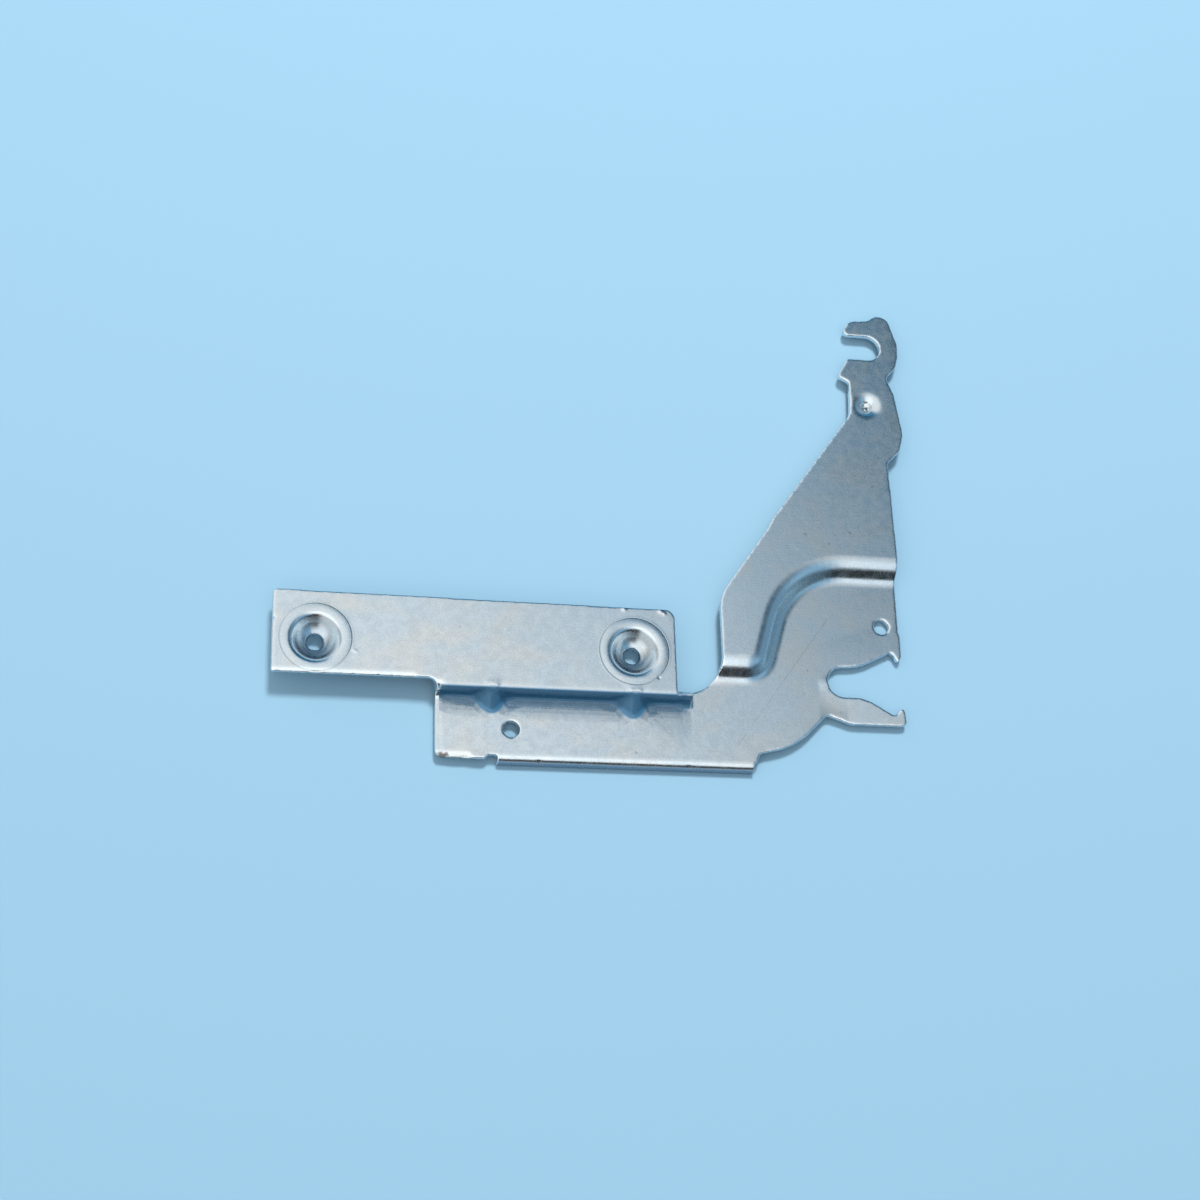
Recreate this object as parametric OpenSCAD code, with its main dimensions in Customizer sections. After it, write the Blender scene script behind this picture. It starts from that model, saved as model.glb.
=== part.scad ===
// Dishwasher door hinge arm, right-hand side: one stamped and folded steel sheet.
// The origin is on the axis of the left screw hole, level with the underside of its cup.
// X runs through both screw holes, Y runs up the arm and Z points out of the wide faces.

/* [Sheet] */
// Thickness of the steel sheet
sheet_t = 2.0; // [1.6:0.1:2.2]
// Height of the arm above the lower bar, made by the curved step
arm_rise = 4.2; // [3.8:0.1:4.8]
// Height of the screw plate above the lower bar, made by the straight fold
tab_rise = 5.2; // [4.7:0.1:6]

/* [Screw plate] */
// Distance between the two screw holes
screw_pitch = 86; // [80:1:92]
// Bore of each screw hole
screw_bore = 4.5; // [3.5:0.1:5.5]
// From the left screw hole to the plate's left edge
tab_left = 11.6; // [10.5:0.1:14]
// From the right screw hole to the plate's right edge
tab_right = 11.6; // [10.5:0.1:12.5]
// From the screw holes' line to the top edge at its left end
tab_top = 13.3; // [11:0.1:18]
// How much lower the top edge is at its right end
tab_taper = 0.7; // [0:0.1:1.5]
// Radius of the upper right corner
tab_corner_r = 2.6; // [1.5:0.1:5]
// Radius where the plate's lower edge turns down the fold's left end
tab_fillet_r = 2.6; // [1.6:0.1:3]

/* [Screw cups] */
// Radius of the cup where its wall leaves the plate
cup_rim_r = 7.2; // [6.6:0.1:7.6]
// Radius of the cup's flat floor
cup_floor_r = 3.4; // [3.1:0.1:3.8]
// Height of the cup's underside above the underside of the lower bar
cup_base = 1.4; // [0.8:0.1:1.8]
// Thickness of the cup's floor
cup_floor_t = 1.7; // [1.4:0.1:1.9]
// Outer radius of the raised ring round each cup
cup_ring_r = 10; // [9.4:0.1:10.2]
// Height of that ring above the plate
cup_ring_h = 0.25; // [0.15:0.05:0.4]

/* [Fold below the screw plate] */
// From the screw holes' line to the outer face of the fold
fold_y = 12.5; // [12.2:0.1:13.5]
// Outer bend radius at the screw plate
fold_top_r = 2.6; // [2.3:0.1:3]
// Inner bend radius at the lower bar
fold_foot_r = 2.0; // [1.2:0.1:2.4]
// Distance from the left screw hole to the first stiffening dart
dart_first = 47.4; // [44:0.1:50]
// Distance between the two darts
dart_pitch = 38.8; // [34:0.2:42]
// How far a dart's ridge turns off square to the fold
dart_lean = 3; // [0:1:8]
// Angle between a dart's middle plane and each of its sides
dart_spread = 56; // [50:1:60]
// Radius of a dart's rounded ridge
dart_ridge_r = 1.2; // [0.8:0.1:1.6]
// How far a dart's tip reaches out of the fold on the lower bar
dart_reach = 5.2; // [4.6:0.1:5.8]
// Thickness of a dart's wall
dart_wall = 1.6; // [1.2:0.1:2]

/* [Lower bar] */
// From the left screw hole to the bar's left end
bar_left = 32.2; // [28:0.2:36]
// From the screw holes' line to the outer face of the turned-down lip
bar_low = 31.1; // [29:0.1:34]
// Full height of the turned-down lip
lip_h = 3.8; // [3:0.1:6]
// Inner bend radius of the lip
lip_r = 0.4; // [0.3:0.1:1]
// Where the lip starts
lip_from = 48.9; // [46:0.1:52]
// Where the lip ends
lip_to = 119.6; // [116:0.1:120]
// Bore of the plain hole in the bar
bar_bore = 4.5; // [3:0.1:6]
// Place of that hole along the bar
bar_bore_x = 52.7; // [50:0.1:80]
// Depth of that hole below the screw holes' line
bar_bore_y = 21.8; // [20:0.1:24]

/* [Fork] */
// Width of the pivot mouth
mouth_w = 8.8; // [8:0.1:9.6]
// From the mouth's round end to the arm's right edge
mouth_reach = 17.3; // [15.6:0.1:18.6]
// Depth of the mouth's centre line below the screw holes' line
mouth_y = 4.4; // [4:0.1:5]
// Width of the lower prong at its root
prong_w = 7.7; // [7:0.1:9]
// Bore of the plain hole above the mouth
fork_bore = 4.3; // [3:0.1:5]
// Place of that hole along the bar
fork_bore_x = 158.6; // [157:0.1:159.5]
// Height of that hole above the screw holes' line
fork_bore_y = 12.6; // [11:0.1:18]

/* [Arm] */
// Place of the arm's left edge along the bar
arm_left = 111; // [110:0.1:113]
// Place of the arm's right edge along the bar
arm_right = 163.6; // [162.5:0.1:165]
// Radius of the notch between the screw plate and the arm
notch_r = 9.9; // [7:0.1:9.9]
// Depth of the notch below the screw holes' line
notch_y = 9.4; // [9:0.1:10.2]
// End of the fold's stub beside the notch
stub_end = 102.2; // [100:0.1:102.2]
// Height of the curved step's middle line where it starts at the arm's left edge
step_low_y = -2.9; // [-3.2:0.1:-2]
// Height of the curved step's middle line where it ends at the arm's right edge
step_high_y = 28.4; // [27:0.1:31]
// Where the step's upright stretch would meet its lower stretch
step_corner_x = 122.3; // [121.5:0.1:124]
// Radius of the step's middle line at its tight turn
step_tight_r = 6.2; // [5.8:0.1:7]
// Radius of the step's middle line at its wide turn
step_wide_r = 22.4; // [20:0.1:23]
// Steepest slope of the step
step_slope = 48; // [44:1:50]
// Radius of the step's convex side
step_convex_r = 5.6; // [4.6:0.1:6]
// Radius of the step's hollow side
step_hollow_r = 3.4; // [2.8:0.1:4]

/* [Hook] */
// Width of the hook's slot
slot_w = 7.8; // [7:0.1:8.6]
// Place of the slot's round end along the bar
slot_x = 159.5; // [158:0.1:161]
// Height of the slot above the screw holes' line
slot_y = 99; // [96:0.1:110]
// Radius of the blind dimple where its soft rim leaves the arm
dimple_rim_r = 4.3; // [3.9:0.1:4.4]
// Radius of the dimple's floor
dimple_floor_r = 1.5; // [1.4:0.1:1.8]
// Depth of the dimple
dimple_h = 1.5; // [1.4:0.1:1.8]
// Steepest slope of the dimple's wall
dimple_slope = 50; // [46:1:54]
// Place of the dimple along the bar
dimple_x = 158.1; // [157.5:0.1:159.5]
// Height of the dimple above the screw holes' line
dimple_y = 80; // [76:0.1:82]

/* [Hidden] */
$fn = 96;
steel = [0.70, 0.73, 0.76];
seam = 0.2;
arc_nudge = 0.0014;
notch_lean = 8;
stub_cut = 40;
// The upright stretch leans at 73.7 degrees, whose cosine 0.28 and sine 0.96 need no rounding
step_lean = acos(0.28);
reach = 40;

tab_z = sheet_t + tab_rise;
arm_z = sheet_t + arm_rise;
fold_face = -fold_y;
fold_back = fold_face + sheet_t;
fold_start = fold_face + fold_top_r;
fold_end = fold_face - fold_foot_r;
tab_end = screw_pitch + tab_right;
lip_out_r = lip_r + sheet_t;
lip_face = -bar_low;
bar_edge = lip_face + lip_out_r;
step_run = (step_convex_r + step_hollow_r) * sin(step_slope);
step_drop = (step_convex_r + step_hollow_r) * (1 - cos(step_slope));
step_slant = (arm_rise - step_drop) / tan(step_slope);
step_w = step_run + step_slant + 2 * seam;

function xy(p) = [p[0], p[1]];
function unit(v) = v / norm(v);
function left_of(v) = [-v[1], v[0]];
function from(origin, corners) = [for (c = corners) [origin[0] + c[0], origin[1] + c[1], c[2]]];

// Each corner gives [start of arc, end of arc, arc centre, turn, radius, sharp corner]
function corner_data(points) = [
    for (i = [0 : len(points) - 1])
        let (
            n = len(points),
            p = xy(points[i]),
            back = unit(xy(points[(i + n - 1) % n]) - p),
            ahead = unit(xy(points[(i + 1) % n]) - p),
            half = acos(back * ahead) / 2,
            r = points[i][2],
            cut = r / tan(half)
        )
        [p + back * cut, p + ahead * cut, p + unit(back + ahead) * r / sin(half), cross(back, ahead), r, p]
];

// A closed outline, anticlockwise, whose corners are [x, y, radius] and come out as true arcs
module rounded(points) {
    corners = corner_data(points);
    difference() {
        union() {
            polygon([for (c = corners) each (c[4] > 0 ? [c[0], c[1]] : [c[5]])]);
            for (c = corners)
                if (c[4] > 0 && c[3] < 0) corner_arc(c);
        }
        for (c = corners)
            if (c[4] > 0 && c[3] > 0) corner_arc(c);
    }
}

// The circle lies a hair towards the sharp corner, so that it crosses both edges instead of grazing them
module corner_arc(c) {
    intersection() {
        translate(c[2] + arc_nudge * (c[5] - c[2])) circle(r = c[4]);
        polygon([c[0], c[5], c[1]]);
    }
}

// Left half of a disc, for the round end of a slot
module half_disc(r) {
    difference() {
        circle(r = r);
        translate([0, -2 * r]) square(4 * r);
    }
}

// A section drawn in Y and Z, pulled out along X
module along_x(from_x, to_x) {
    translate([from_x, 0, 0]) rotate([90, 0, 90]) linear_extrude(to_x - from_x) children();
}

mouth = [arm_right - mouth_reach, -mouth_y];
mouth_r = mouth_w / 2;
slot = [slot_x, slot_y];
slot_r = slot_w / 2;

// The bar's lower edge, with the relief nick beside the lip
bar_corners = [
    [bar_left, bar_edge - 1.2, 1.8],
    [lip_from - 4.6, bar_edge - 1.5, 0.8],
    [lip_from - 3.4, bar_edge - 1.5, 0.4],
    [lip_from - 2.2, bar_edge - 0.4, 0.4],
    [lip_from, bar_edge - 0.4, 0],
    [lip_from, bar_edge, 0],
    [lip_to, bar_edge, 0]
];

// From the lip's end round the belly to the lower prong, its barb and the mouth
fork_corners = concat(
    [
        [lip_to + 0.6, bar_edge, 0.4],
        [lip_to + 1.8, bar_edge + 2.7, 1.6]
    ],
    from(mouth, [
        [-14.7, -19.3, 22],
        [-5.3, -mouth_r - 5.4, 2],
        [1.6, -mouth_r - prong_w, 5]
    ]),
    [
        [arm_right + 0.6, mouth[1] - mouth_r - prong_w, 1.4],
        [arm_right - 0.1, mouth[1] - mouth_r - 1.6, 0.8],
        [arm_right - 2.8, mouth[1] - mouth_r - 4.8, 0.8]
    ],
    from(mouth, [
        [6, -mouth_r, 12],
        [0, -mouth_r, 0],
        [0, mouth_r, 0],
        [5, mouth_r + 0.3, 16]
    ]),
    [
        [arm_right - 2.6, mouth[1] + mouth_r + 5.1, 1],
        [arm_right - 0.8, mouth[1] + mouth_r + 1.8, 0.6],
        [arm_right + 0.2, mouth[1] + mouth_r + 3.8, 1.2],
        [arm_right + 0.4, mouth[1] + mouth_r + 9.4, 1.5],
        [arm_right - 0.1, mouth[1] + mouth_r + 11.6, 1.5]
    ]
);

// Up the right edge, round the hook's outside and into its slot
hook_corners = concat(
    [
        [arm_right, step_high_y + 6, 4],
        [arm_right - 0.5, slot[1] - 37, 2]
    ],
    from(slot, [
        [7.6, -33, 5],
        [9.0, -27.5, 6],
        [7.2, -14.5, 8],
        [5.2, -9.4, 1.6],
        [8.4, -5.8, 4],
        [10.2, 0.4, 3.4],
        [8.6, 5.2, 5],
        [6.9, 10.9, 2.2],
        [3.2, 10.9, 3],
        [0.8, 9.2, 1.8],
        [-4.8, 8.6, 3],
        [-7.2, 5, 1.3],
        [-5.8, slot_r, 1],
        [0, slot_r, 0],
        [0, -slot_r, 0],
        [-6.2, -slot_r, 1.2],
        [-9.6, -9.8, 1],
        [-6.3, -11.6, 1.1],
        [-6.9, -22.4, 4]
    ])
);

// Down the arm's slanting edge and into the notch beside the screw plate
edge_corners = [
    [slot[0] - 31.9, slot[1] - 56.6, 4],
    [slot[0] - 34.0, slot[1] - 60.4, 4],
    [arm_left, 18, 12],
    [arm_left, (arm_left - stub_end) * tan(notch_lean) - notch_y, notch_r],
    [stub_end, -notch_y, 0],
    [stub_end, fold_end - seam, 0],
    [bar_left, fold_end - seam, 0]
];

module plan() {
    difference() {
        rounded(concat(bar_corners, fork_corners, hook_corners, edge_corners));
        translate(mouth) half_disc(mouth_r);
        translate(slot) mirror([1, 0]) half_disc(slot_r);
    }
}

// The step's middle line, from the arm's left edge to its right edge
step_turn_low = [step_corner_x, step_low_y];
step_turn_high = [step_corner_x + (step_high_y - step_low_y) / tan(step_lean), step_high_y];
step_path = [
    [arm_left - reach, step_low_y],
    step_turn_low,
    step_turn_high,
    [arm_right + reach, step_high_y]
];
step_headings = [for (i = [0 : 2]) unit(step_path[i + 1] - step_path[i])];
step_low_cut = step_tight_r * tan(step_lean / 2);
step_high_cut = step_wide_r * tan(step_lean / 2);

// The middle line's corner i, moved sideways to the bar's side by d
function step_corner(i, d) =
    step_path[i] - d * unit(left_of(step_headings[i - 1]) + left_of(step_headings[i])) / cos(step_lean / 2);

// All that lies on the arm's side of the step, up to d past its middle line
module arm_side(d) {
    rounded([
        [step_path[0][0], step_low_y - d, 0],
        concat(step_corner(1, d), step_tight_r + d),
        concat(step_corner(2, d), step_wide_r - d),
        [step_path[3][0], step_high_y - d, 0],
        [step_path[3][0], slot_y + reach, 0],
        [step_path[0][0], slot_y + reach, 0]
    ]);
}

// The step's section: first coordinate runs from the arm's side to the bar's side
module step_section() {
    top_in = -step_w / 2;
    top_turn = step_convex_r * tan(step_slope / 2) + seam;
    foot_turn = step_hollow_r * tan(step_slope / 2) + seam;
    rounded([
        [top_in, arm_rise, 0],
        [top_in + seam + (step_convex_r - sheet_t) * tan(step_slope / 2), arm_rise, step_convex_r - sheet_t],
        [-top_in - seam - (step_hollow_r + sheet_t) * tan(step_slope / 2), 0, step_hollow_r + sheet_t],
        [-top_in, 0, 0],
        [-top_in, sheet_t, 0],
        [-top_in - foot_turn, sheet_t, step_hollow_r],
        [top_in + top_turn, arm_z, step_convex_r],
        [top_in, arm_z, 0]
    ]);
}

// The step along a straight stretch of its middle line
module step_straight(length) {
    rotate([90, 0, 90]) linear_extrude(length) mirror([1, 0]) step_section();
}

// Moves on to where a left turn of the middle line ends
module past_turn(r) {
    translate([0, r, 0]) rotate([0, 0, step_lean]) translate([0, -r, 0]) children();
}

// The step along a left turn, cut off square where the next stretch starts
module step_turn(r) {
    intersection() {
        translate([0, r, 0])
            rotate([0, 0, -90])
                rotate_extrude(angle = step_lean + 5) translate([r, 0]) children();
        past_turn(r) translate([-2 * reach, -reach, -reach]) cube(2 * reach);
    }
}

// Each stretch is placed from the end of the one before it, so that their faces meet exactly
module curved_step() {
    middle = norm(step_turn_high - step_turn_low) - step_low_cut - step_high_cut;
    translate(step_turn_low - step_low_cut * step_headings[0]) {
        translate([-reach, 0, 0]) step_straight(reach);
        step_turn(step_tight_r) step_section();
        past_turn(step_tight_r) {
            step_straight(middle);
            translate([middle, 0, 0])
                mirror([0, 1, 0]) {
                    step_turn(step_wide_r) mirror([1, 0]) step_section();
                    past_turn(step_wide_r) mirror([0, 1, 0]) step_straight(reach);
                }
        }
    }
}

// Bar, fork, step, arm and hook: the stepped sheet cut to its outline
module stepped_sheet() {
    side = step_w / 2 - seam / 2;
    intersection() {
        translate([0, 0, -reach]) linear_extrude(2 * reach) plan();
        union() {
            linear_extrude(sheet_t)
                difference() {
                    translate([0, -reach]) square([arm_right + reach, slot_y + 2 * reach]);
                    arm_side(side);
                }
            curved_step();
            translate([0, 0, arm_rise]) linear_extrude(sheet_t) arm_side(-side);
        }
    }
}

// Section of the fold between the screw plate and the bar
module fold_section() {
    rounded([
        [fold_end - 1, 0, 0],
        [fold_back, 0, fold_foot_r + sheet_t],
        [fold_back, tab_rise, fold_top_r - sheet_t],
        [fold_start + 1, tab_rise, 0],
        [fold_start + 1, tab_z, 0],
        [fold_face, tab_z, fold_top_r],
        [fold_face, sheet_t, fold_foot_r],
        [fold_end - 1, sheet_t, 0]
    ]);
}

module fold() {
    top_centre = [fold_start, tab_z - fold_top_r];
    along_x(bar_left, tab_end) fold_section();
    along_x(tab_end - seam, stub_end)
        intersection() {
            fold_section();
            polygon([
                top_centre,
                top_centre + 2 * fold_top_r * [-sin(stub_cut), cos(stub_cut)],
                [fold_end - 1, tab_z],
                [fold_end - 1, 0],
                [fold_start, 0]
            ]);
        }
    fold_fillet();
}

// Where the plate's lower edge rounds down into the fold's left end
module fold_fillet() {
    intersection() {
        along_x(bar_left - 2 * tab_fillet_r, bar_left + seam) fold_section();
        linear_extrude(tab_z)
            rounded([
                [bar_left - 1.5 * tab_fillet_r, fold_start, 0],
                [bar_left, fold_start, tab_fillet_r],
                [bar_left, fold_end, 0],
                [bar_left + seam, fold_end, 0],
                [bar_left + seam, fold_start + seam, 0],
                [bar_left - 1.5 * tab_fillet_r, fold_start + seam, 0]
            ]);
    }
}

// The lip that is turned down along the bar's lower edge
module lip() {
    along_x(lip_from, lip_to)
        rounded([
            [lip_face, sheet_t - lip_h, 0],
            [lip_face + sheet_t, sheet_t - lip_h, 0],
            [lip_face + sheet_t, 0, lip_r],
            [bar_edge + 1, 0, 0],
            [bar_edge + 1, sheet_t, 0],
            [lip_face, sheet_t, lip_out_r]
        ]);
}

module screw_plate() {
    translate([0, 0, tab_rise])
        linear_extrude(sheet_t)
            rounded([
                [-tab_left, fold_start, 0.8],
                [bar_left, fold_start, 0],
                [tab_end, fold_start, 0],
                [tab_end, tab_top - tab_taper, tab_corner_r],
                [-tab_left, tab_top, 1.4]
            ]);
}

// Outside and soft ring of a screw cup
module cup_body() {
    rotate_extrude()
        rounded([
            [0, cup_base, 0],
            [cup_floor_r + cup_floor_t * 0.4, cup_base, 1],
            [cup_rim_r, tab_rise, 0],
            [cup_rim_r, tab_rise + sheet_t / 2, 0],
            [cup_ring_r, tab_rise + sheet_t / 2, 0],
            [cup_ring_r, tab_z, 0],
            [cup_ring_r - 1.4, tab_z + cup_ring_h, 3],
            [0, tab_z + cup_ring_h, 0]
        ]);
}

// Inside of a screw cup
module cup_hollow() {
    lip_z = tab_z + cup_ring_h;
    floor_z = cup_base + cup_floor_t;
    rotate_extrude()
        rounded([
            [0, floor_z, 0],
            [cup_floor_r, floor_z, 0.9],
            [cup_rim_r - 0.3, lip_z, 2.4],
            [cup_rim_r + 1.4, lip_z, 0],
            [cup_rim_r + 1.4, lip_z + 1, 0],
            [0, lip_z + 1, 0]
        ]);
}

// A wedge along a dart's ridge, which leans over the fold at 45 degrees; its sides start inwards by inset
module dart_wedge(x, inset, ridge_r) {
    depth = 3 * dart_reach;
    translate([x, fold_face - dart_reach, sheet_t])
        rotate([-45, 0, dart_lean])
            translate([0, inset / sin(dart_spread), -reach / 2])
                linear_extrude(reach)
                    rounded([
                        [0, 0, ridge_r],
                        [depth * tan(dart_spread), depth, 0],
                        [-depth * tan(dart_spread), depth, 0]
                    ]);
}

// Half the width of a dart where it is cut off inside the sheet
dart_half = 2 * dart_reach;

module dart_front(x) {
    intersection() {
        dart_wedge(x, 0, dart_ridge_r);
        translate([x - dart_half, fold_end - dart_reach, seam])
            cube([2 * dart_half, fold_foot_r + dart_reach + fold_top_r, tab_z - seam]);
    }
}

// The back of a dart, pressed in from behind
module dart_hollow(x) {
    intersection() {
        dart_wedge(x, dart_wall, dart_ridge_r / 2);
        translate([x - dart_half, fold_end - dart_reach, -1])
            cube([2 * dart_half, dart_reach + fold_foot_r + fold_top_r + seam, tab_rise + 1]);
    }
}

// Blind dimple in the arm, whose rim is one wide soft roll
module dimple_hollow() {
    wall_top = dimple_floor_r + dimple_h / tan(dimple_slope);
    rim_roll = (dimple_rim_r - wall_top) / tan(dimple_slope / 2);
    rotate_extrude()
        rounded([
            [0, arm_z - dimple_h, 0],
            [dimple_floor_r, arm_z - dimple_h, 0.3],
            [wall_top, arm_z, rim_roll],
            [dimple_rim_r + 1, arm_z, 0],
            [dimple_rim_r + 1, arm_z + 1, 0],
            [0, arm_z + 1, 0]
        ]);
}

// The back of the dimple, which stands out of the arm's underside
module dimple_back() {
    wall = 0.8 * sheet_t;
    rotate_extrude()
        rounded([
            [0, arm_z - dimple_h - wall, 0],
            [dimple_floor_r + wall / 2, arm_z - dimple_h - wall, 0.6],
            [dimple_rim_r, arm_rise, 0],
            [dimple_rim_r, arm_rise + sheet_t / 2, 0],
            [0, arm_rise + sheet_t / 2, 0]
        ]);
}

module bore(x, y, d) {
    translate([x, y, -reach / 2]) cylinder(d = d, h = reach);
}

module hinge_arm() {
    color(steel)
        translate([0, 0, -cup_base])
            difference() {
                union() {
                    stepped_sheet();
                    fold();
                    lip();
                    screw_plate();
                    for (i = [0, 1]) dart_front(dart_first + i * dart_pitch);
                    for (x = [0, screw_pitch]) translate([x, 0, 0]) cup_body();
                    translate([dimple_x, dimple_y, 0]) dimple_back();
                }
                for (i = [0, 1]) dart_hollow(dart_first + i * dart_pitch);
                for (x = [0, screw_pitch]) {
                    translate([x, 0, 0]) cup_hollow();
                    bore(x, 0, screw_bore);
                }
                bore(bar_bore_x, -bar_bore_y, bar_bore);
                bore(fork_bore_x, fork_bore_y, fork_bore);
                translate([dimple_x, dimple_y, 0]) dimple_hollow();
            }
}

hinge_arm();
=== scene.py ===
# %% [markdown]
# # Dishwasher door hinge arm
# One piece of steel sheet, stamped, folded and zinc plated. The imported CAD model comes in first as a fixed
# frame in metres. All that follows dresses it: a softer copy of the sheet with rolled edges, one zinc
# finish with its grain and wear, a pale floor, soft light and the camera.

from math import atan, cos, degrees, radians, sin

import bpy
import numpy as np
from mathutils import Euler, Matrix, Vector
from mathutils.bvhtree import BVHTree


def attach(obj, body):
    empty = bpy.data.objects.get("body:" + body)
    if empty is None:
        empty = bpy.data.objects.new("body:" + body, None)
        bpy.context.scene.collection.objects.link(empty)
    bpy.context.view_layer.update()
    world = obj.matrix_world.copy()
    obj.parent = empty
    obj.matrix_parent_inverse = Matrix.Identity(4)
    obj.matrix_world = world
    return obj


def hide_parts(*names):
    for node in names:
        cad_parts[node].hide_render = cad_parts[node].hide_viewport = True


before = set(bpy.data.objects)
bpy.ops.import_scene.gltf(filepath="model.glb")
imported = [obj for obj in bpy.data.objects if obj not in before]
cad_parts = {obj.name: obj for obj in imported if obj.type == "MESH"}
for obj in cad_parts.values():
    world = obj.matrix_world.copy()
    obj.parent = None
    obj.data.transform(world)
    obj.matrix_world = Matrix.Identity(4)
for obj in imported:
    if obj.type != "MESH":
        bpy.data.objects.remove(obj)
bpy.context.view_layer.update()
MM = 0.001

# %% [markdown]
# The camera stands where the photographer held it: above the sheet, a little towards the bar's side and
# towards the screw plate. The 1200 x 1200 frame is square, so the sensor width spans it both ways.

# %% Camera
CAMERA_PLACE = Vector((-43.3, -214.2, 561.7)) * MM
CAMERA_TURN = Euler((radians(22.24), radians(-11.53), radians(-1.66)))
FOCAL_MM = 67.5
SENSOR_MM = 36

bpy.ops.object.camera_add(location=CAMERA_PLACE, rotation=CAMERA_TURN)
camera = bpy.context.object
camera.name = "camera"
camera.data.lens = FOCAL_MM
camera.data.sensor_width = SENSOR_MM
camera.data.clip_start = 10 * MM
bpy.context.scene.camera = camera
print("Camera height, mm:", round(camera.location.z / MM))

# %% [markdown]
# The real sheet has no knife edges and no creases. The punch rolls the edge over as it shears the blank,
# and the steel flows round the dies in soft blends, at the darts most of all. Those rolled edges catch the
# light as the white outline of the part. A bevel can't follow all this, so the CAD sheet is copied and the
# copy is reshaped. A CAD mesh is loose triangles, so the copy's doubled points are merged first.

# %% Copy the sheet
WELD = 0.002 * MM

bpy.ops.object.select_all(action="DESELECT")
cad_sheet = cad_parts["hinge_arm"]
sheet = cad_sheet.copy()
sheet.data = cad_sheet.data.copy()
sheet.name = "pressed_sheet"
bpy.context.collection.objects.link(sheet)
sheet.parent = None
bpy.context.view_layer.objects.active = sheet
sheet.select_set(True)
sheet.data.materials.clear()

bpy.ops.object.mode_set(mode="EDIT")
bpy.ops.mesh.select_all(action="SELECT")
bpy.ops.mesh.customdata_custom_splitnormals_clear()
bpy.ops.mesh.remove_doubles(threshold=WELD)
bpy.ops.object.mode_set(mode="OBJECT")
print("CAD triangles:", len(sheet.data.polygons))

# %% [markdown]
# CAD triangles are long and thin, and smoothing them would tear the shape. A voxel remesh rebuilds the
# sheet from small even squares. Those can be pushed and smoothed like clay under a thumb. A quarter of a
# millimetre is fine enough for the nicks and still light to work with.

# %% Remesh it into small squares
SQUARE = 0.25 * MM

squares = sheet.modifiers.new("squares", "REMESH")
squares.mode = "VOXEL"
squares.voxel_size = SQUARE
bpy.ops.object.modifier_apply(modifier="squares")
print("Small squares:", len(sheet.data.polygons))

# %% [markdown]
# Hundreds of thousands of points are too many for a loop, so numpy takes them all at once: one row for
# each point, with its x, y and z. These helpers read the rows from the mesh and put them back.


# %% Read and write the points
def read_rows(items, name):
    """One row of three numbers for each item of the mesh."""
    rows = np.empty(3 * len(items))
    items.foreach_get(name, rows)
    return rows.reshape(-1, 3)


def read_points():
    """The sheet's points, in metres."""
    return read_rows(sheet.data.vertices, "co")


def read_normals():
    """The way that the sheet's surface faces at each point."""
    return read_rows(sheet.data.vertex_normals, "vector")


def write_points(points):
    """Puts the points back, from millimetres."""
    sheet.data.vertices.foreach_set("co", (points * MM).ravel())
    sheet.data.update()


print("Points to work on:", len(read_points()))

# %% [markdown]
# The press squeezes the fold tighter than a plain bend. Round a bend's centre the points move out towards
# the corner: their distance follows a superellipse, a circle with squarer shoulders. The fold has two
# bends, at the screw plate and at its foot. The foot keeps its roundness at the two darts, which are
# pressed into it.


# %% Tighten the fold
def tighten(points, share, centre, away, reach):
    """Squares off a round bend about its centre, which is given as y and z."""
    offset = points[:, 1:] - centre
    length = np.linalg.norm(offset, axis=1) + 1e-9
    turn = np.abs(offset / length[:, None])
    corner = (turn**SQUARENESS).sum(axis=1) ** (-1 / SQUARENESS)
    chosen = ((offset * away) > 0).all(axis=1) & (length > reach[0]) & (length < reach[1])
    stretch = 1 + share * chosen * (corner - 1)
    points[:, 1:] = centre + offset * stretch[:, None]


SQUARENESS = 5
FOLD_START = 33
FOLD_END = 100
FADE = 1.5
DART_PLACES = (47.4, 86.2)
DART_HALF = 3.6
DART_FADE = 2.6

points = read_points() / MM
upwards = read_normals()[:, 2] > 0.1
x = points[:, 0]
share = np.clip((x - FOLD_START) / FADE, 0, 1) * np.clip((FOLD_END - x) / FADE, 0, 1)
tighten(points, share, centre=(-9.9, 3.2), away=(-1, 1), reach=(1.8, 3))
for dart in DART_PLACES:
    share *= np.clip((np.abs(x - dart) - DART_HALF) / DART_FADE, 0, 1)
tighten(points, share, centre=(-14.5, 2.6), away=(1, -1), reach=(1.2, 3))
print("Tightened points:", int((share > 0).sum()))

# %% [markdown]
# Each screw cup is stretched into a bowl that falls all the way to its hole, so that a countersunk head
# centres itself. Inside the rim the points rise to the bowl's curve. The raised ring round it is
# flattened, as the pad of the press leaves it.

# %% Hollow the cups
CUP_PLACES = ((0, 0), (86, 0))
CUP_FLOOR = 1.5
BOWL_LOW = 1.7
BOWL_START = 1.9
BOWL_RISE = 0.327
BOWL_CURVE = 1.6
BOWL_RADIUS = 5.4
RING_RADIUS = 11
PLATE_TOP = 5.8
RING_KEEP = 0.45

for cup in CUP_PLACES:
    out = np.linalg.norm(points[:, :2] - cup, axis=1)
    bowl = BOWL_LOW + BOWL_RISE * np.clip(out - BOWL_START, 0, None) ** BOWL_CURVE
    inside = upwards & (out < BOWL_RADIUS) & (points[:, 2] > CUP_FLOOR)
    points[inside, 2] = np.maximum(points[:, 2], bowl)[inside]
    ring = (out < RING_RADIUS) & (points[:, 2] > PLATE_TOP)
    points[ring, 2] = PLATE_TOP + RING_KEEP * (points[ring, 2] - PLATE_TOP)
    print("Bowl at", cup, "has points:", int(inside.sum()))

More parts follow.
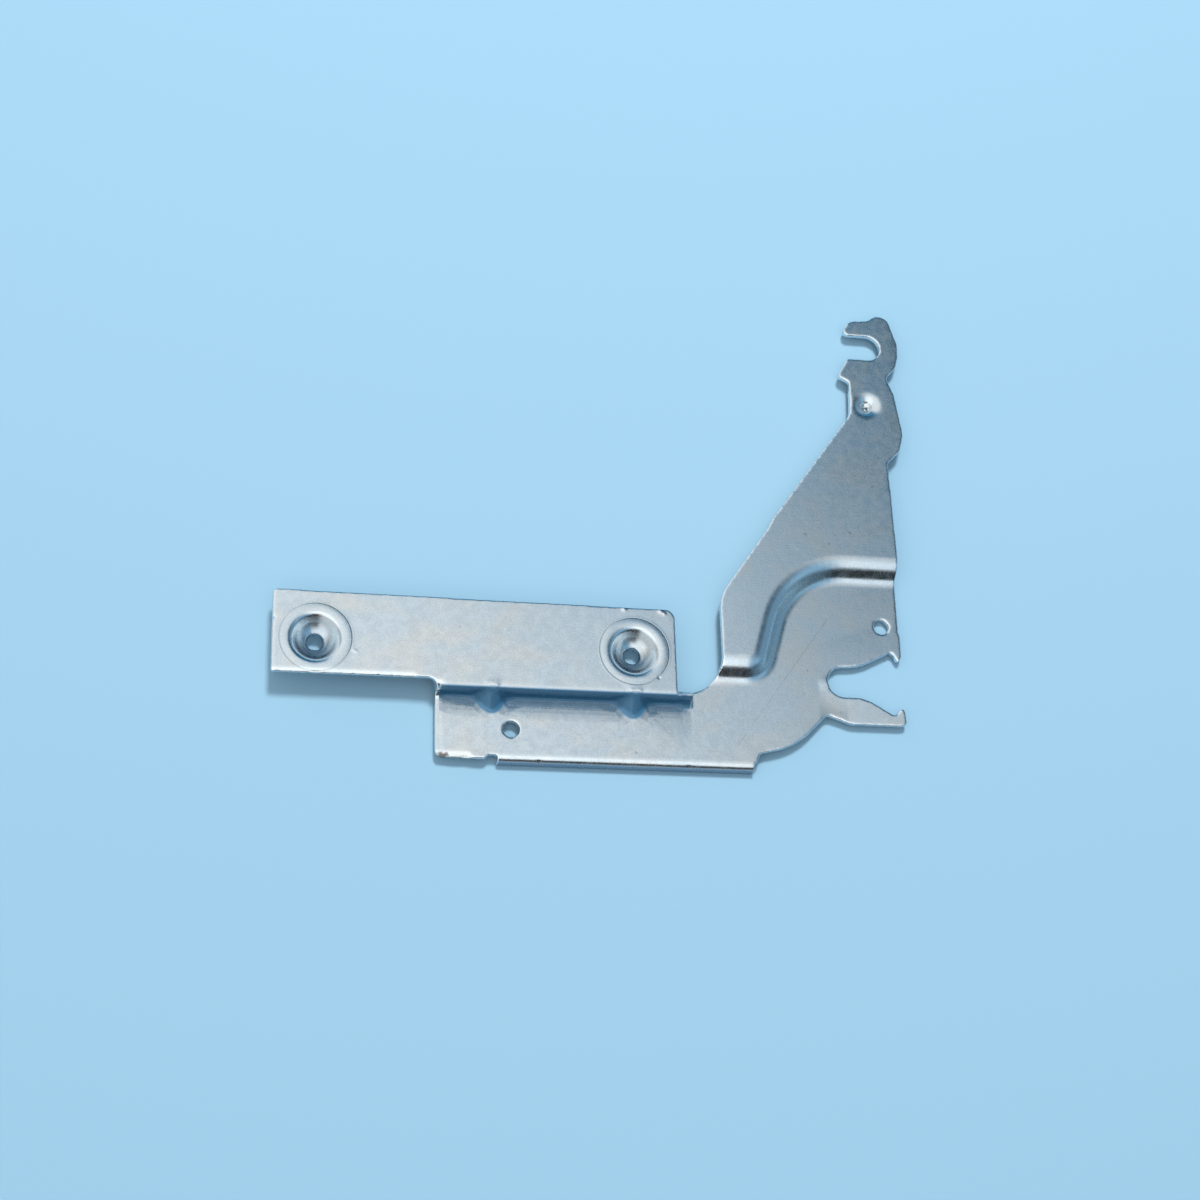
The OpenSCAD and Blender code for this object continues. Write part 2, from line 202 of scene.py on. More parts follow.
# %% [markdown]
# Shearing pulls some edges down further than others. The screw plate's free edge and the bar's lower left
# edge are rolled so wide that they show as white bands, and their left ends a little less. The upper face
# is lowered towards each edge, most of all at the edge itself. The prong is thin and the press has twisted
# it a few degrees towards the bar, so it is turned about its own length.


# %% Roll the wide edges over and twist the prong
def roll_over(inside, depth, width):
    """Lowers the upper face towards an edge; inside is how far a point lies from that edge."""
    near = np.clip(1 - inside / width, 0, 1)
    points[:, 2] -= depth * near**2 * upwards


CLEAR = 9  # far enough inside that nothing is rolled
PLATE_EDGE = -9.9
PLATE_LEFT = -11.6
BAR_EDGE = -30.0
BAR_LEFT = 33.2
PRONG_START = 139
PRONG_MIDDLE = -10.5
PRONG_TWIST = 0.075

x, y, z = points.T
on_plate = (z > 4) & (y > -10.5)
on_bar = (z < 2) & (x > 32) & (x < 46) & (y < -13)
plate_fade = np.clip(x - 26, 0, 3)
bar_fade = np.clip(x - 41, 0, 3)
roll_over(np.where(on_plate & (x < 29), y - PLATE_EDGE, CLEAR) + plate_fade, depth=0.48, width=1.6)
roll_over(np.where(on_plate, x - PLATE_LEFT, CLEAR), depth=0.22, width=0.9)
roll_over(np.where(on_bar & (x < 43), y - BAR_EDGE, CLEAR) + bar_fade, depth=0.8, width=2.0)
roll_over(np.where(on_bar, x - BAR_LEFT, CLEAR), depth=0.12, width=0.9)
on_prong = np.clip((x - PRONG_START) / 8, 0, 1) * np.clip((-3 - y) / 2, 0, 1)
points[:, 2] += on_prong * PRONG_TWIST * (y - PRONG_MIDDLE)
write_points(points)
print("Points on the prong:", int((on_prong > 0).sum()))

# %% [markdown]
# A few rounds of smoothing round every edge by about half a millimetre. How far each point moves also tells
# where the metal bends sharply, so that is kept on the mesh as two masks for the finish to read later: one
# on the outer edges, where the plating rubs off and a painted highlight goes, and one in the inner corners,
# which get a painted shade.


# %% Roll every edge a little
def smooth(name, rounds, group=""):
    """Smooths the sheet, everywhere or where a vertex group says."""
    soft = sheet.modifiers.new(name, "SMOOTH")
    soft.factor = 0.5
    soft.iterations = rounds
    soft.vertex_group = group
    bpy.ops.object.modifier_apply(modifier=name)


def keep_mask(name, amounts):
    """Keeps one number for each point on the mesh, by a name that the finish can read."""
    mask = sheet.data.attributes.get(name) or sheet.data.attributes.new(name, "FLOAT", "POINT")
    mask.data.foreach_set("value", amounts)


ROUNDS = 10
FULL_WEAR = 0.10 * MM

before = read_points()
smooth("roll", ROUNDS)
moved = read_points() - before
inwards = -(moved * read_normals()).sum(axis=1)
# Outer edges: wear and a painted highlight.
keep_mask("wear_and_highlight", np.clip(inwards / FULL_WEAR, 0, 1))
# Inner corners: these get a painted shade later.
keep_mask("crease", np.clip(-inwards / FULL_WEAR, 0, 1))
print("Points on worn edges:", int((inwards > 0.5 * FULL_WEAR).sum()))

# %% [markdown]
# Some places are rounder than the rest. The two darts are pressed into the fold's foot and melt into it,
# and so does the dimple into the arm. The plate's edge gives a little above each dart. Each of these
# places gets a weight that fades out round a line. The weights make a vertex group, and that group is
# smoothed for much longer.


# %% Round the darts and the dimple more
def near_line(start, end, reach):
    """One on the line from start to end, fading to nothing at reach from it; all in millimetres."""
    start, end = np.array(start), np.array(end)
    along = end - start
    share = np.clip(((points - start) @ along) / (along @ along), 0, 1)
    away = np.linalg.norm(points - start - share[:, None] * along, axis=1)
    return np.clip(FULLNESS * (1 - away / reach), 0, 1)


def group_of(name, weights):
    """A vertex group with ten steps of weight."""
    group = sheet.vertex_groups.new(name=name)
    steps = np.round(weights * 10).astype(int)
    for step in range(1, 11):
        group.add(np.flatnonzero(steps == step).tolist(), step / 10, "REPLACE")
    return name


DARTS = (((47.4, -17.2, 0.6), (47.1, -13.6, 3.2)), ((86.2, -17.2, 0.6), (85.9, -13.6, 3.2)))
DIMPLE = np.array((158.1, 80.0, 4.0))
FULLNESS = 1.6
DART_REACH = 4.6
DIMPLE_REACH = 6.5
ABOVE_DART = -9.7
MELT_ROUNDS = 110

points = read_points() / MM
dart_weights = sum(near_line(*line, DART_REACH) for line in DARTS)
for dart in DART_PLACES:
    left_end, right_end = (dart - 2.2, ABOVE_DART, PLATE_TOP), (dart + 1.8, ABOVE_DART, PLATE_TOP)
    dart_weights += near_line(left_end, right_end, reach=2.0)
dimple_weights = near_line(DIMPLE, DIMPLE + (0.1, 0, 0), DIMPLE_REACH)
smooth("melt", MELT_ROUNDS, group_of("pressed", np.clip(dart_weights + dimple_weights, 0, 1)))
print("Groups:", [group.name for group in sheet.vertex_groups])

# %% [markdown]
# A part that has been handled and thrown in a box has small dents and nicks. The dents are modelled, not
# painted: each is a soft bump that pushes the points near it. The plating is also painted bright there,
# which is wear and a painted highlight. The sheared edges waver by a few hundredths of a millimetre, which a
# smooth wave in three directions gives.

# %% Nick the edges
NICKS = (
    ((83.4, 12.2, 5.8), 0.9, (0.0, 0.0, 0.16)),
    ((93.6, 12.0, 5.8), 0.9, (0.0, 0.0, 0.16)),
    ((94.6, 11.3, 5.8), 0.7, (0.0, 0.0, 0.10)),
    ((9.9, -3.4, 5.8), 0.7, (0.0, 0.0, 0.05)),
    ((10.5, -3.7, 5.8), 0.7, (0.0, 0.0, 0.05)),
    ((92.5, -7.4, 5.8), 0.5, (0.0, 0.0, -0.10)),
    ((121.5, 1.6, 3.6), 0.9, (0.1, -0.2, -0.2)),
    ((-11.4, 5.0, 5.6), 1.0, (0.3, 0.0, -0.2)),
    ((60.0, -30.9, 0.2), 0.8, (0.0, 0.2, -0.1)),
    ((101.0, -31.0, 0.2), 1.0, (0.0, 0.2, -0.1)),
)
WAVER = 0.05
WAVE_SIZE = 1.1


def ripple(size):
    """A smooth random-looking wave between -1 and 1, the same in every run."""
    a, b, c = (points / size).T
    return (np.sin(a * 2.1 + 1.3 * np.sin(b * 1.7 + c)) + np.sin(b * 2.7 + 1.1 * np.sin(a * 1.3 - c))) / 2


def bell(distances, width):
    """One in the middle, falling softly to nothing at about the width."""
    return np.exp(-2 * (distances / width) ** 2)


points = read_points() / MM
wear_and_highlight = np.empty(len(points))
sheet.data.attributes["wear_and_highlight"].data.foreach_get("value", wear_and_highlight)
points -= read_normals() * (wear_and_highlight * WAVER * ripple(WAVE_SIZE))[:, None]
for spot, width, push in NICKS:
    near = bell(np.linalg.norm(points - spot, axis=1), width)
    points += near[:, None] * push
    # Each nick is painted bright: wear and a painted highlight.
    wear_and_highlight = np.maximum(wear_and_highlight, 1.3 * near)
keep_mask("wear_and_highlight", np.clip(wear_and_highlight, 0, 1))
print("Nicks:", len(NICKS))

# %% [markdown]
# Two corners of the hook are blunter than the drawing has them, so the whole thickness is pushed in there.
# The dimple is the mark of a round punch with a rough nose. It leaves a small crater with an uneven floor,
# pressed in after the melt so that it stays crisp.

# %% Blunt the hook and press the crater
BLUNTED = (
    ((169.4, 99.2), 2.4, (-0.55, 0.0)),
    ((166.1, 109.8), 1.8, (-0.25, -0.25)),
)
CRATER_RADIUS = 1.6
CRATER_DEPTH = 0.40
CRATER_RIPPLE = 0.16

for corner, width, push in BLUNTED:
    near = bell(np.linalg.norm(points[:, :2] - corner, axis=1), width)
    points[:, :2] += near[:, None] * push
off_centre = np.linalg.norm((points - DIMPLE)[:, :2], axis=1)
crater = np.exp(-((off_centre / CRATER_RADIUS) ** 8)) * (points[:, 2] > 3.4)
points[:, 2] += crater * (CRATER_RIPPLE * ripple(0.55) - CRATER_DEPTH)
write_points(points)
print("Points in the crater:", int((crater > 0.5).sum()))

# %% [markdown]
# Little light gets into the fold's foot, beside the darts and into the screw cups, and there the metal gets
# a painted shade, darker and bluer. How shut in a point is can be measured: rays look out from it in many
# directions, and the share that hits the sheet itself is kept as a third mask, which sets the painted shade.
# The directions follow a sunflower's spiral, which spreads them evenly. In the cups the painted shade is
# made stronger on the lower side.

# %% Measure the shelter for the painted shade
LOOKS = 24
LOOK_REACH = 7 * MM
SUNFLOWER = 2.39996
LIFT_MM = 0.05
FOLD_MIDDLE = (67.6, -14.2)
FOLD_HALF = (34.4, 5)
CUP_REACH = 8.5

angles = np.arange(LOOKS) * SUNFLOWER
heights = np.sqrt((np.arange(LOOKS) + 0.5) / LOOKS)
spreads = np.sqrt(1 - heights**2)
looks = np.stack((np.cos(angles) * spreads, np.sin(angles) * spreads, heights), axis=1)

points = read_points() / MM
normals = read_normals()
not_below = normals[:, 2] > -0.1
in_fold = (np.abs(points[:, :2] - FOLD_MIDDLE) < FOLD_HALF).all(axis=1)
in_cup = np.zeros(len(points), bool)
for cup in CUP_PLACES:
    in_cup |= np.linalg.norm(points[:, :2] - cup, axis=1) < CUP_REACH
painted_shade = np.zeros(len(points))
surface = BVHTree.FromObject(sheet, bpy.context.evaluated_depsgraph_get())
for index in np.flatnonzero((in_fold | in_cup) & not_below):
    normal = Vector(normals[index])
    start = Vector(points[index]) * MM + normal * LIFT_MM * MM
    turn = normal.to_track_quat("Z", "Y")
    hits = sum(surface.ray_cast(start, turn @ Vector(look), LOOK_REACH)[0] is not None for look in looks)
    painted_shade[index] = hits / LOOKS
# In the cups the painted shade is made stronger where the surface faces +y, on the cup's lower side.
painted_shade[in_cup] *= np.clip(0.5 + 1.2 * normals[in_cup, 1], 0.3, 1.4)
# The third mask holds the painted shade.
keep_mask("painted_shade", painted_shade)
print("Sheltered points:", int((painted_shade > 0.2).sum()))

# %% [markdown]
# The fold and the outer face of the lip get a painted dark blue, which is a painted shade and a painted
# reflection of a blue surrounding. Both are marked by their slope in a fourth mask.

# %% Mark the bends for the painted dark blue
FLAT = 0.998
BAR_TOP = 0.62
DARK_BLUE_START = 32.6
DARK_BLUE_EDGE = -11.3
LIP_FACE = -29.5
LIP_START = 48.5
LIP_SLOPE = 0.72
LIP_DARK_BLUE = 0.85

steep = np.clip((FLAT - normals[:, 2]) / 0.02, 0, 1)
painted_dark_blue = steep * in_fold * (points[:, 2] > BAR_TOP) * not_below
painted_dark_blue *= np.clip((points[:, 0] - DARK_BLUE_START) / 0.4, 0, 1)
painted_dark_blue *= np.clip((DARK_BLUE_EDGE - points[:, 1]) / 0.7, 0, 1)
on_lip = (points[:, 1] < LIP_FACE) & (points[:, 0] > LIP_START)
painted_dark_blue = np.maximum(painted_dark_blue, LIP_DARK_BLUE * on_lip * np.clip((-normals[:, 1] - LIP_SLOPE) / 0.2, 0, 1))
# The fourth mask holds the painted dark blue: painted shade and painted reflection.
keep_mask("painted_dark_blue", painted_dark_blue)
print("Painted_dark_blue points:", int((painted_dark_blue > 0.5).sum()))

# %% [markdown]
# The flat faces need few triangles, so a Decimate modifier collapses those that carry no shape. It keeps the
# masks of the points that remain, and a vertex group keeps it away from the places with painted shade, where
# that shade would turn blotchy on large triangles.

# %% Thin out the flat faces
MOST_TRIANGLES = 190000

group_of("keep_fine", np.clip(painted_shade * 20, 0, 1))
thin = sheet.modifiers.new("thin", "DECIMATE")
thin.ratio = min(1, MOST_TRIANGLES / (2 * len(sheet.data.polygons)))
thin.vertex_group = "keep_fine"
thin.invert_vertex_group = True
bpy.ops.object.modifier_apply(modifier="thin")
bpy.ops.object.shade_smooth()
print("Sheet triangles:", sum(len(face.vertices) - 2 for face in sheet.data.polygons))

# %% [markdown]
# Zinc plate is a pale, slightly blue metal with a dull shine. Up close it is never even: a fine grain from
# the rolled steel under it, a mottle of crystals, cloudy patches a centimetre wide, warmer where it has
# aged, and faint rolling lines. Each of these is a noise of its own size, on Object coordinates, so that
# it sticks to the sheet. Nodes are small boxes that take values in and give one out, and a helper adds
# each kind.


# %% Zinc finish: grain, mottle, clouds and lines
def mapped(scale, turn=0):
    """Object coordinates, stretched and turned for one pattern."""
    mapping = tree.nodes.new("ShaderNodeMapping")
    mapping.inputs["Scale"].default_value = scale
    mapping.inputs["Rotation"].default_value = (0, 0, radians(turn))
    tree.links.new(place, mapping.inputs["Vector"])
    return mapping.outputs["Vector"]


def noise(vector, scale, detail=2, rough=0.5, distort=0):
    """A noise texture's value."""
    node = tree.nodes.new("ShaderNodeTexNoise")
    tree.links.new(vector, node.inputs["Vector"])
    for name, value in (("Scale", scale), ("Detail", detail), ("Roughness", rough), ("Distortion", distort)):
        node.inputs[name].default_value = value
    return node.outputs["Fac"]


zinc = bpy.data.materials.new("zinc_plate")
zinc.use_nodes = True
tree = zinc.node_tree
shader = tree.nodes["Principled BSDF"]
place = tree.nodes.new("ShaderNodeTexCoord").outputs["Object"]

grain = noise(mapped((1, 1, 1)), 2400, detail=3, rough=0.7)
mottle = noise(mapped((1, 1, 1)), 420, detail=5, rough=0.6, distort=0.4)
clouds = noise(mapped((1, 1.4, 1)), 62, detail=4, rough=0.55, distort=0.6)
lines = noise(mapped((60, 2600, 900), turn=2), 1, detail=2, rough=0.6)
print("Nodes after the noises:", len(tree.nodes))

# %% [markdown]
# From here the masks are worked out like sums, so each kind of sum gets a helper too. They build into
# whatever `tree` is at that moment: the zinc now, and the room's light later.


# %% Helpers for sums
def connect(source, target):
    """Links a socket, or sets a plain value."""
    if isinstance(source, bpy.types.NodeSocket):
        tree.links.new(source, target)
    else:
        target.default_value = source


def spread(value, low, high, start=0, end=1):
    """Stretches a mask so that low and high become start and end."""
    node = tree.nodes.new("ShaderNodeMapRange")
    names = ("Value", "From Min", "From Max", "To Min", "To Max")
    for name, item in zip(names, (value, low, high, start, end)):
        connect(item, node.inputs[name])
    return node.outputs["Result"]


def maths(how, a, b=0):
    """One sum of two masks or numbers."""
    node = tree.nodes.new("ShaderNodeMath")
    node.operation = how
    connect(a, node.inputs[0])
    connect(b, node.inputs[1])
    return node.outputs[0]


def times(a, b):
    """Two masks multiplied."""
    return maths("MULTIPLY", a, b)


print("Sums build into:", zinc.name)

# %% [markdown]
# A hair scratch is where a stretched noise passes its middle value: the band round 0.5 is a thin wandering
# line. A second noise breaks the lines up, so that only a few short ones are left. Specks of dirt are the
# middles of scattered cells. The four masks on the mesh join them here: the edge wear with its painted
# highlight, the painted shade in the creases and in the shut-in places, and the painted dark blue of the
# bends. The edge wear and the painted crease shade are broken up by the mottle, so that neither ends in a
# clean line.


# %% Zinc finish: scratches, specks, wear, painted highlight and painted shade
def scratches(turn, rarity):
    """Sparse hair scratches in one direction."""
    band = noise(mapped((9, 260, 120), turn), 1, detail=1, rough=0.4)
    line = spread(maths("ABSOLUTE", maths("SUBTRACT", band, 0.5)), 0.0, 0.006, 1, 0)
    patch = spread(noise(mapped((1, 1, 1), turn + 31), 70, detail=2), rarity, rarity + 0.05)
    return times(line, patch)


def from_mesh(name):
    """A mask that is kept on the mesh's points."""
    node = tree.nodes.new("ShaderNodeAttribute")
    node.attribute_name = name
    return node.outputs["Fac"]


scratch = maths("MAXIMUM", scratches(52, 0.60), scratches(-24, 0.62))
speck_cells = tree.nodes.new("ShaderNodeTexVoronoi")
speck_cells.inputs["Scale"].default_value = 210
tree.links.new(place, speck_cells.inputs["Vector"])
speck = times(spread(speck_cells.outputs["Distance"], 0.05, 0.11, 1, 0), spread(clouds, 0.54, 0.60))
# Edge wear with a painted highlight, broken up by the mottle.
edge = times(from_mesh("wear_and_highlight"), spread(mottle, 0.30, 0.55, 0.45, 1))
# Painted shade in the fold's foot, beside the darts and in the cups.
painted_shade_mask = spread(from_mesh("painted_shade"), 0.02, 0.22)
# Painted dark blue on the fold and the lip's face: painted shade and reflection.
painted_dark_blue_mask = from_mesh("painted_dark_blue")
# Painted shade in the inner creases, broken up by the mottle.
crease_shade = times(from_mesh("crease"), spread(mottle, 0.38, 0.62, 0.2, 1))
print("Nodes after the wear:", len(tree.nodes))

# %% [markdown]
# One long straight scratch runs across the fork. A Mapping node set to TEXTURE moves the coordinates into
# the scratch's own frame: its middle, its turn and nothing else. There, the distance from the long axis
# makes the line, and the distance along it makes the two ends.

# %% Zinc finish: the long scratch
SCRATCH_PLACE = (128.9 * MM, -5 * MM, 0.6 * MM)
SCRATCH_TURN = radians(54)
SCRATCH_HALF = 25 * MM
SCRATCH_WAVER = 0.12 * MM

along = tree.nodes.new("ShaderNodeMapping")
along.vector_type = "TEXTURE"
along.inputs["Location"].default_value = SCRATCH_PLACE
along.inputs["Rotation"].default_value = (0, 0, SCRATCH_TURN)
tree.links.new(place, along.inputs["Vector"])
halves = tree.nodes.new("ShaderNodeSeparateXYZ")
tree.links.new(along.outputs["Vector"], halves.inputs["Vector"])
drag = maths("ADD", halves.outputs["Y"], spread(mottle, 0.3, 0.7, -SCRATCH_WAVER, SCRATCH_WAVER))
drag = spread(maths("ABSOLUTE", drag), 0.04 * MM, 0.16 * MM, 1, 0)
drag_end = spread(maths("ABSOLUTE", halves.outputs["X"]), 0.9 * SCRATCH_HALF, SCRATCH_HALF, 1, 0)
drag = times(drag, times(drag_end, spread(clouds, 0.40, 0.50, 0.25, 1)))
drag = times(drag, spread(halves.outputs["Z"], -1 * MM, 0.5 * MM))
print("Long scratch, mm:", round(2 * SCRATCH_HALF / MM))

# %% [markdown]
# The bar's lower left corner has been knocked, and the zinc is gone there down to brown steel. Round each
# screw cup the press pad has left a thin ring line. Both are made from the distance to one point: a soft
# ball for the corner, and a thin shell that meets the plate in a circle for the ring.


# %% Zinc finish: the knocked corner and the ring lines
def distance_to(spot):
    """How far each point of the surface lies from one spot."""
    node = tree.nodes.new("ShaderNodeVectorMath")
    node.operation = "DISTANCE"
    tree.links.new(place, node.inputs[0])
    node.inputs[1].default_value = spot
    return node.outputs["Value"]


CORNER = (34.2 * MM, -30.0 * MM, -0.2 * MM)
CUP_RING = 9.6 * MM

rub = maths("ADD", distance_to(CORNER), spread(mottle, 0.3, 0.7, -1.2 * MM, 1.2 * MM))
rub = spread(rub, 0.3 * MM, 1.3 * MM, 1, 0)
ring_line = 0
for cup in CUP_PLACES:
    gap = maths("ABSOLUTE", maths("SUBTRACT", distance_to(Vector((*cup, PLATE_TOP)) * MM), CUP_RING))
    ring_line = maths("MAXIMUM", ring_line, spread(gap, 0.05 * MM, 0.28 * MM, 1, 0))
print("Ring radius, mm:", CUP_RING / MM)

# %% [markdown]
# The colours are what zinc mirrors back: a blue-grey, a warmer grey in the aged patches, near white on the
# rubbed edges, which is wear and a painted highlight, a painted shade of deep blue in the fold's foot, the
# darts and the cups, and brown where the corner is rubbed through to the steel. The fold and the lip's face
# get a painted dark blue, which is painted shade and a painted reflection. A dark grey marks dirt and
# scratches, and paints shade into the inner creases. They are laid over each other like thin coats, from the
# widest to the smallest. The painted dark blue bends also lose most of their mirror, so Metallic falls
# there.


# %% Zinc finish: colour
def mix_colour(mask, below, above):
    """Lays one colour over another where the mask says."""
    node = tree.nodes.new("ShaderNodeMix")
    node.data_type = "RGBA"
    connect(mask, node.inputs[0])
    connect(below, node.inputs[6])
    connect(above, node.inputs[7])
    return node.outputs[2]


COOL = (0.70, 0.79, 0.84, 1)
WARM = (0.78, 0.80, 0.78, 1)
MOTTLED = (0.55, 0.61, 0.66, 1)
GRAINED = (0.52, 0.58, 0.62, 1)
# Near white for rubbed metal and for the painted highlight on the edges.
RUBBED_AND_HIGHLIGHT = (0.93, 0.95, 0.97, 1)
# Dark grey for dirt, scratches and ring lines, and for the painted crease shade.
GRIME_AND_SHADE = (0.30, 0.29, 0.27, 1)
# The colour of the painted shade.
PAINTED_SHADE_BLUE = (0.05, 0.15, 0.25, 1)
# The painted dark blue of the bends, for painted shade and reflection.
PAINTED_DARK_BLUE = (0.035, 0.14, 0.25, 1)
BROWN = (0.17, 0.11, 0.075, 1)

colour = mix_colour(spread(clouds, 0.46, 0.68), COOL, WARM)
colour = mix_colour(spread(mottle, 0.35, 0.65, 0.0, 0.12), colour, MOTTLED)
colour = mix_colour(spread(grain, 0.38, 0.62, 0.0, 0.20), colour, GRAINED)
colour = mix_colour(times(scratch, 0.5), colour, RUBBED_AND_HIGHLIGHT)
# Paints the edges near white: wear and a painted highlight.
colour = mix_colour(times(edge, 0.65), colour, RUBBED_AND_HIGHLIGHT)
# Dark specks of dirt, and a painted shade in the inner creases.
colour = mix_colour(times(maths("MAXIMUM", crease_shade, speck), 0.45), colour, GRIME_AND_SHADE)
colour = mix_colour(times(drag, 0.55), colour, GRIME_AND_SHADE)
# Paints the shade over the metal.
colour = mix_colour(times(painted_shade_mask, 0.85), colour, PAINTED_SHADE_BLUE)
# Paints the dark blue over the fold and the lip's face.
colour = mix_colour(times(painted_dark_blue_mask, 0.96), colour, PAINTED_DARK_BLUE)
colour = mix_colour(times(ring_line, 0.30), colour, GRIME_AND_SHADE)
colour = mix_colour(times(rub, 0.8), colour, BROWN)
connect(colour, shader.inputs["Base Color"])
# The painted dark blue bends lose most of their mirror.
connect(maths("SUBTRACT", 1, times(painted_dark_blue_mask, 0.85)), shader.inputs["Metallic"])
print("Nodes after the colour:", len(tree.nodes))

# %% [markdown]
# The plating is neither mirror nor matt. Its roughness wanders with the mottle and the grain, rubbed edges
# are a little smoother, and the inner creases and bare steel are rougher. The bumps are a few thousandths of
# a millimetre high, just enough to break up the reflections. Each Bump node adds its layer to the one
# before.


# %% Zinc finish: roughness and bump
def bump(height, distance, under=None):
    """One more layer of bump, in millimetres."""
    node = tree.nodes.new("ShaderNodeBump")
    node.inputs["Distance"].default_value = distance * MM
    tree.links.new(height, node.inputs["Height"])
    if under:
        tree.links.new(under, node.inputs["Normal"])
    return node.outputs["Normal"]


gloss = spread(mottle, 0.35, 0.65, 0.22, 0.29)
gloss = maths("ADD", gloss, spread(grain, 0.35, 0.65, -0.03, 0.04))
gloss = maths("SUBTRACT", gloss, times(edge, 0.08))
gloss = maths("ADD", gloss, times(maths("MAXIMUM", crease_shade, rub), 0.25))
connect(gloss, shader.inputs["Roughness"])

relief = bump(mottle, 0.010)
relief = bump(grain, 0.005, relief)
relief = bump(lines, 0.004, relief)
relief = bump(scratch, 0.006, relief)
relief = bump(ring_line, -0.03, relief)
connect(relief, shader.inputs["Normal"])
sheet.data.materials.append(zinc)
print("Zinc nodes:", len(tree.nodes))

# %% [markdown]
# The sheet lies on a pale blue floor. It rests on the lip's lower edge and, farther back, on whatever
# touches first when the floor is tipped up behind the lip. That is the smallest slope from the lip to any
# point, so it is measured on the finished sheet, and the floor can't cut into it.

# %% Floor
FLOOR_COLOUR = (0.25, 0.42, 0.54, 1)
FLOOR_SIZE = 12
LIP_REST = np.array((85, -31.1, -3.2))

points = read_points() / MM
past_lip = points[points[:, 1] > 0] - LIP_REST
floor_tilt = atan((past_lip[:, 2] / past_lip[:, 1]).min())

bpy.ops.mesh.primitive_plane_add(
    size=FLOOR_SIZE, location=Vector(LIP_REST) * MM, rotation=(floor_tilt, 0, 0)
)
floor = bpy.context.object
floor.name = "floor"
bpy.ops.object.transform_apply(location=True, rotation=True, scale=True)
paper = bpy.data.materials.new("pale_paper")
paper.use_nodes = True
paper_shader = paper.node_tree.nodes["Principled BSDF"]
paper_shader.inputs["Base Color"].default_value = FLOOR_COLOUR
paper_shader.inputs["Roughness"].default_value = 0.9
floor.data.materials.append(paper)
print("Floor tilt, degrees:", round(degrees(floor_tilt), 2))

# %% [markdown]
# One soft lamp on the arm's side throws the short shadows towards the bar's edge. It is a large disc, so
# the shadows have soft rims. The lamp is hidden from the metal's mirror, where it would be a hard bright
# spot: what the metal shows is the room's work.

# %% Lamp
LAMP_LEAN = 26
LAMP_DISTANCE = 1.6
LAMP_WIDTH = 0.34
LAMP_WATTS = 25

middle = Vector((75, 35, 3)) * MM
aim = Vector((0, sin(radians(LAMP_LEAN)), cos(radians(LAMP_LEAN))))
bpy.ops.object.light_add(type="AREA", location=middle + aim * LAMP_DISTANCE)
lamp = bpy.context.object
lamp.name = "key_lamp"
lamp.rotation_euler = aim.to_track_quat("Z", "Y").to_euler()
lamp.data.shape = "DISK"
lamp.data.size = LAMP_WIDTH
lamp.data.energy = LAMP_WATTS
lamp.visible_glossy = False
print("Lamp height, m:", round(lamp.location.z, 2))

# %% [markdown]
# Metal shows nothing but the room round it, so the room makes the picture. The world's shader gets the
# direction that each ray leaves in, as X, Y and Z from -1 to 1. A soft ramp along one of them is a wall or
# a window. The room is bright overhead and to the left, and a little brighter still on the photographer's
# side. It darkens to the right, towards the arm's end and near the horizon. Low down behind the
# photographer it is black, which draws the dark line of the step.


# %% Room: the bright and the dark sides
def fade(value, low, high, start, end):
    """A soft ramp between two values of one direction."""
    ramp = spread(value, low, high, start, end)
    ramp.node.interpolation_type = "SMOOTHSTEP"
    return ramp


world = bpy.data.worlds.new("studio")
bpy.context.scene.world = world
world.use_nodes = True
tree = world.node_tree
background = tree.nodes["Background"]
ray = tree.nodes.new("ShaderNodeTexCoord")
split = tree.nodes.new("ShaderNodeSeparateXYZ")
tree.links.new(ray.outputs["Generated"], split.inputs["Vector"])
right, back, up = (split.outputs[name] for name in "XYZ")

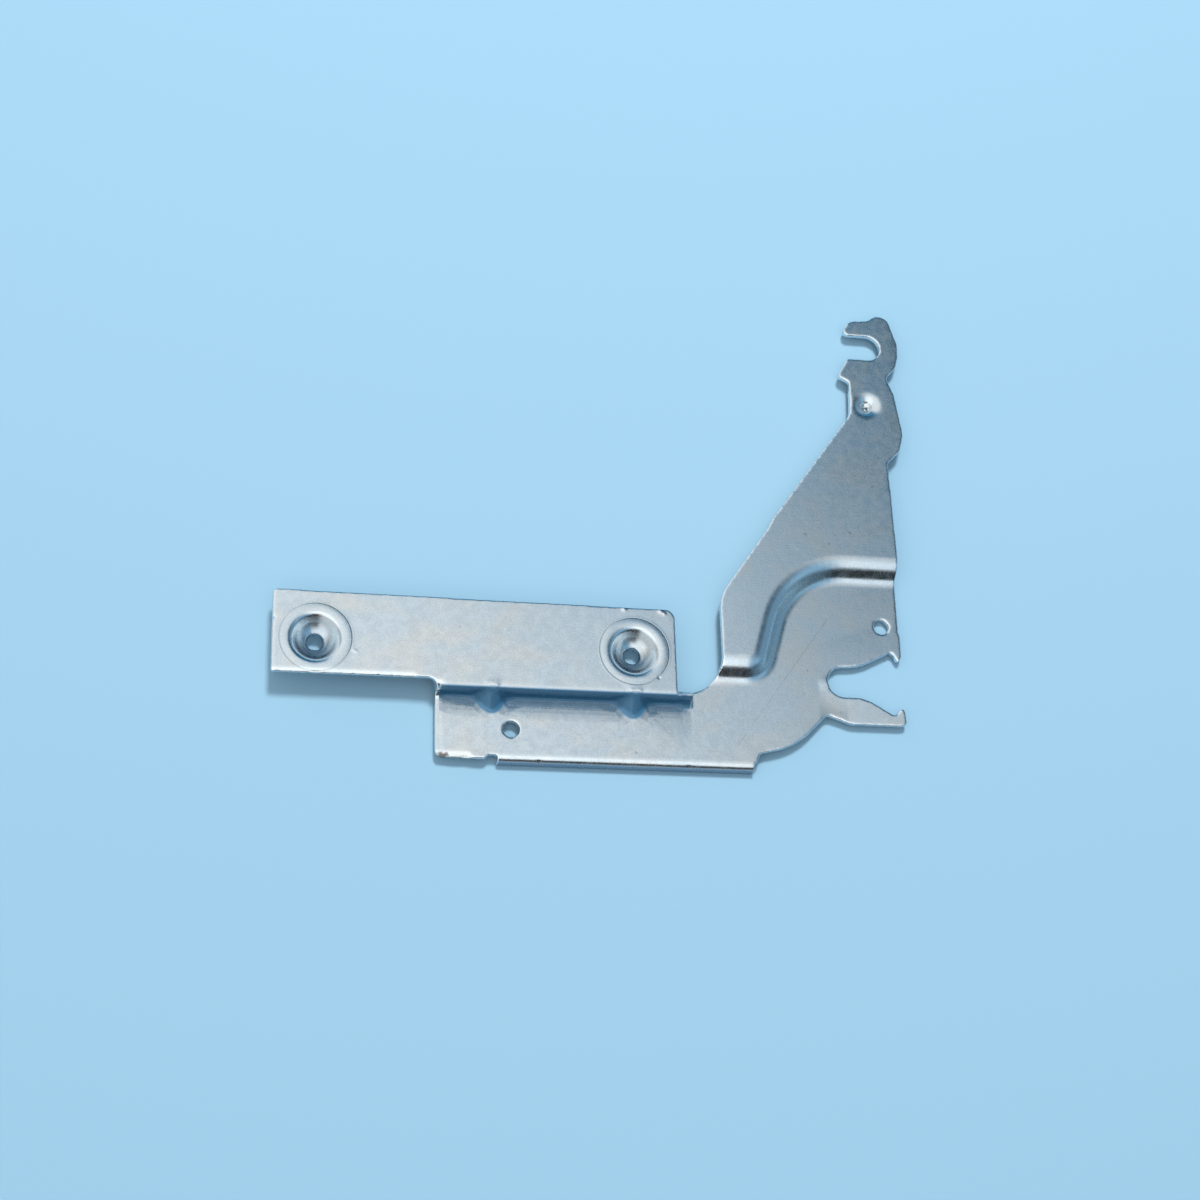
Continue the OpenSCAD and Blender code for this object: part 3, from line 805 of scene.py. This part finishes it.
slant = maths("ADD", right, back)
beside = fade(maths("ABSOLUTE", right), 0.78, 0.96, 0, 1)
left = fade(times(right, -1), 0.02, 0.30, 0, 1)
behind = maths("MAXIMUM", fade(back, -0.84, -0.70, 0.02, 1), maths("MAXIMUM", beside, left))
window = fade(back, -0.30, 0.10, 1.4, 1)
side = fade(right, 0.17, 0.50, 1, 0.45)
far = fade(slant, 0.52, 0.83, 1, 0.16)
low_wall = maths("MAXIMUM", fade(up, 0.30, 0.60, 0.32, 1), times(left, 0.5))
room = times(times(times(behind, window), times(far, side)), low_wall)
print("Nodes for the walls:", len(tree.nodes))

# %% [markdown]
# Two faint glows near the horizon, to the right and at the far wall, keep the steep faces and the cups
# from going black. The bright parts of the room are nearly white and the dim parts blue, as daylight is on
# a shaded wall. Where the camera itself sees past the floor, Is Camera Ray puts a plain pale blue instead.

# %% Room: the glows, the tint and the horizon
DAYLIGHT = (0.97, 0.985, 1.0, 1)
DEEP_BLUE = (0.10, 0.58, 1.0, 1)
GLOW_BLUE = (0.38, 0.68, 0.95, 1)
HORIZON = (0.24, 0.40, 0.52, 1)

glow = times(fade(right, 0.38, 0.75, 0, 0.42), fade(up, 0.45, 0.88, 1, 0))
glow = times(glow, fade(back, -0.60, -0.10, 0, 1))
far_wall = times(fade(back, 0.50, 0.75, 0, 0.42), fade(up, 0.25, 0.60, 1, 0))
room = maths("ADD", maths("ADD", room, glow), far_wall)

blue = maths("MAXIMUM", fade(slant, 0.52, 0.78, 0, 1), fade(right, 0.25, 0.60, 0, 0.8))
tint = mix_colour(blue, DAYLIGHT, DEEP_BLUE)
tint = mix_colour(fade(right, 0.38, 0.60, 0, 1), tint, GLOW_BLUE)
seen = tree.nodes.new("ShaderNodeLightPath").outputs["Is Camera Ray"]
connect(mix_colour(seen, tint, HORIZON), background.inputs["Color"])
connect(maths("ADD", times(room, maths("SUBTRACT", 1, seen)), seen), background.inputs["Strength"])
bpy.context.scene.view_settings.view_transform = "Standard"
print("Room nodes:", len(tree.nodes))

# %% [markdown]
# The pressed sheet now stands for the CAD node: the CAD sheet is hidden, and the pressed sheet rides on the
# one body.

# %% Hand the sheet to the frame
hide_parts("hinge_arm")
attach(sheet, "root")
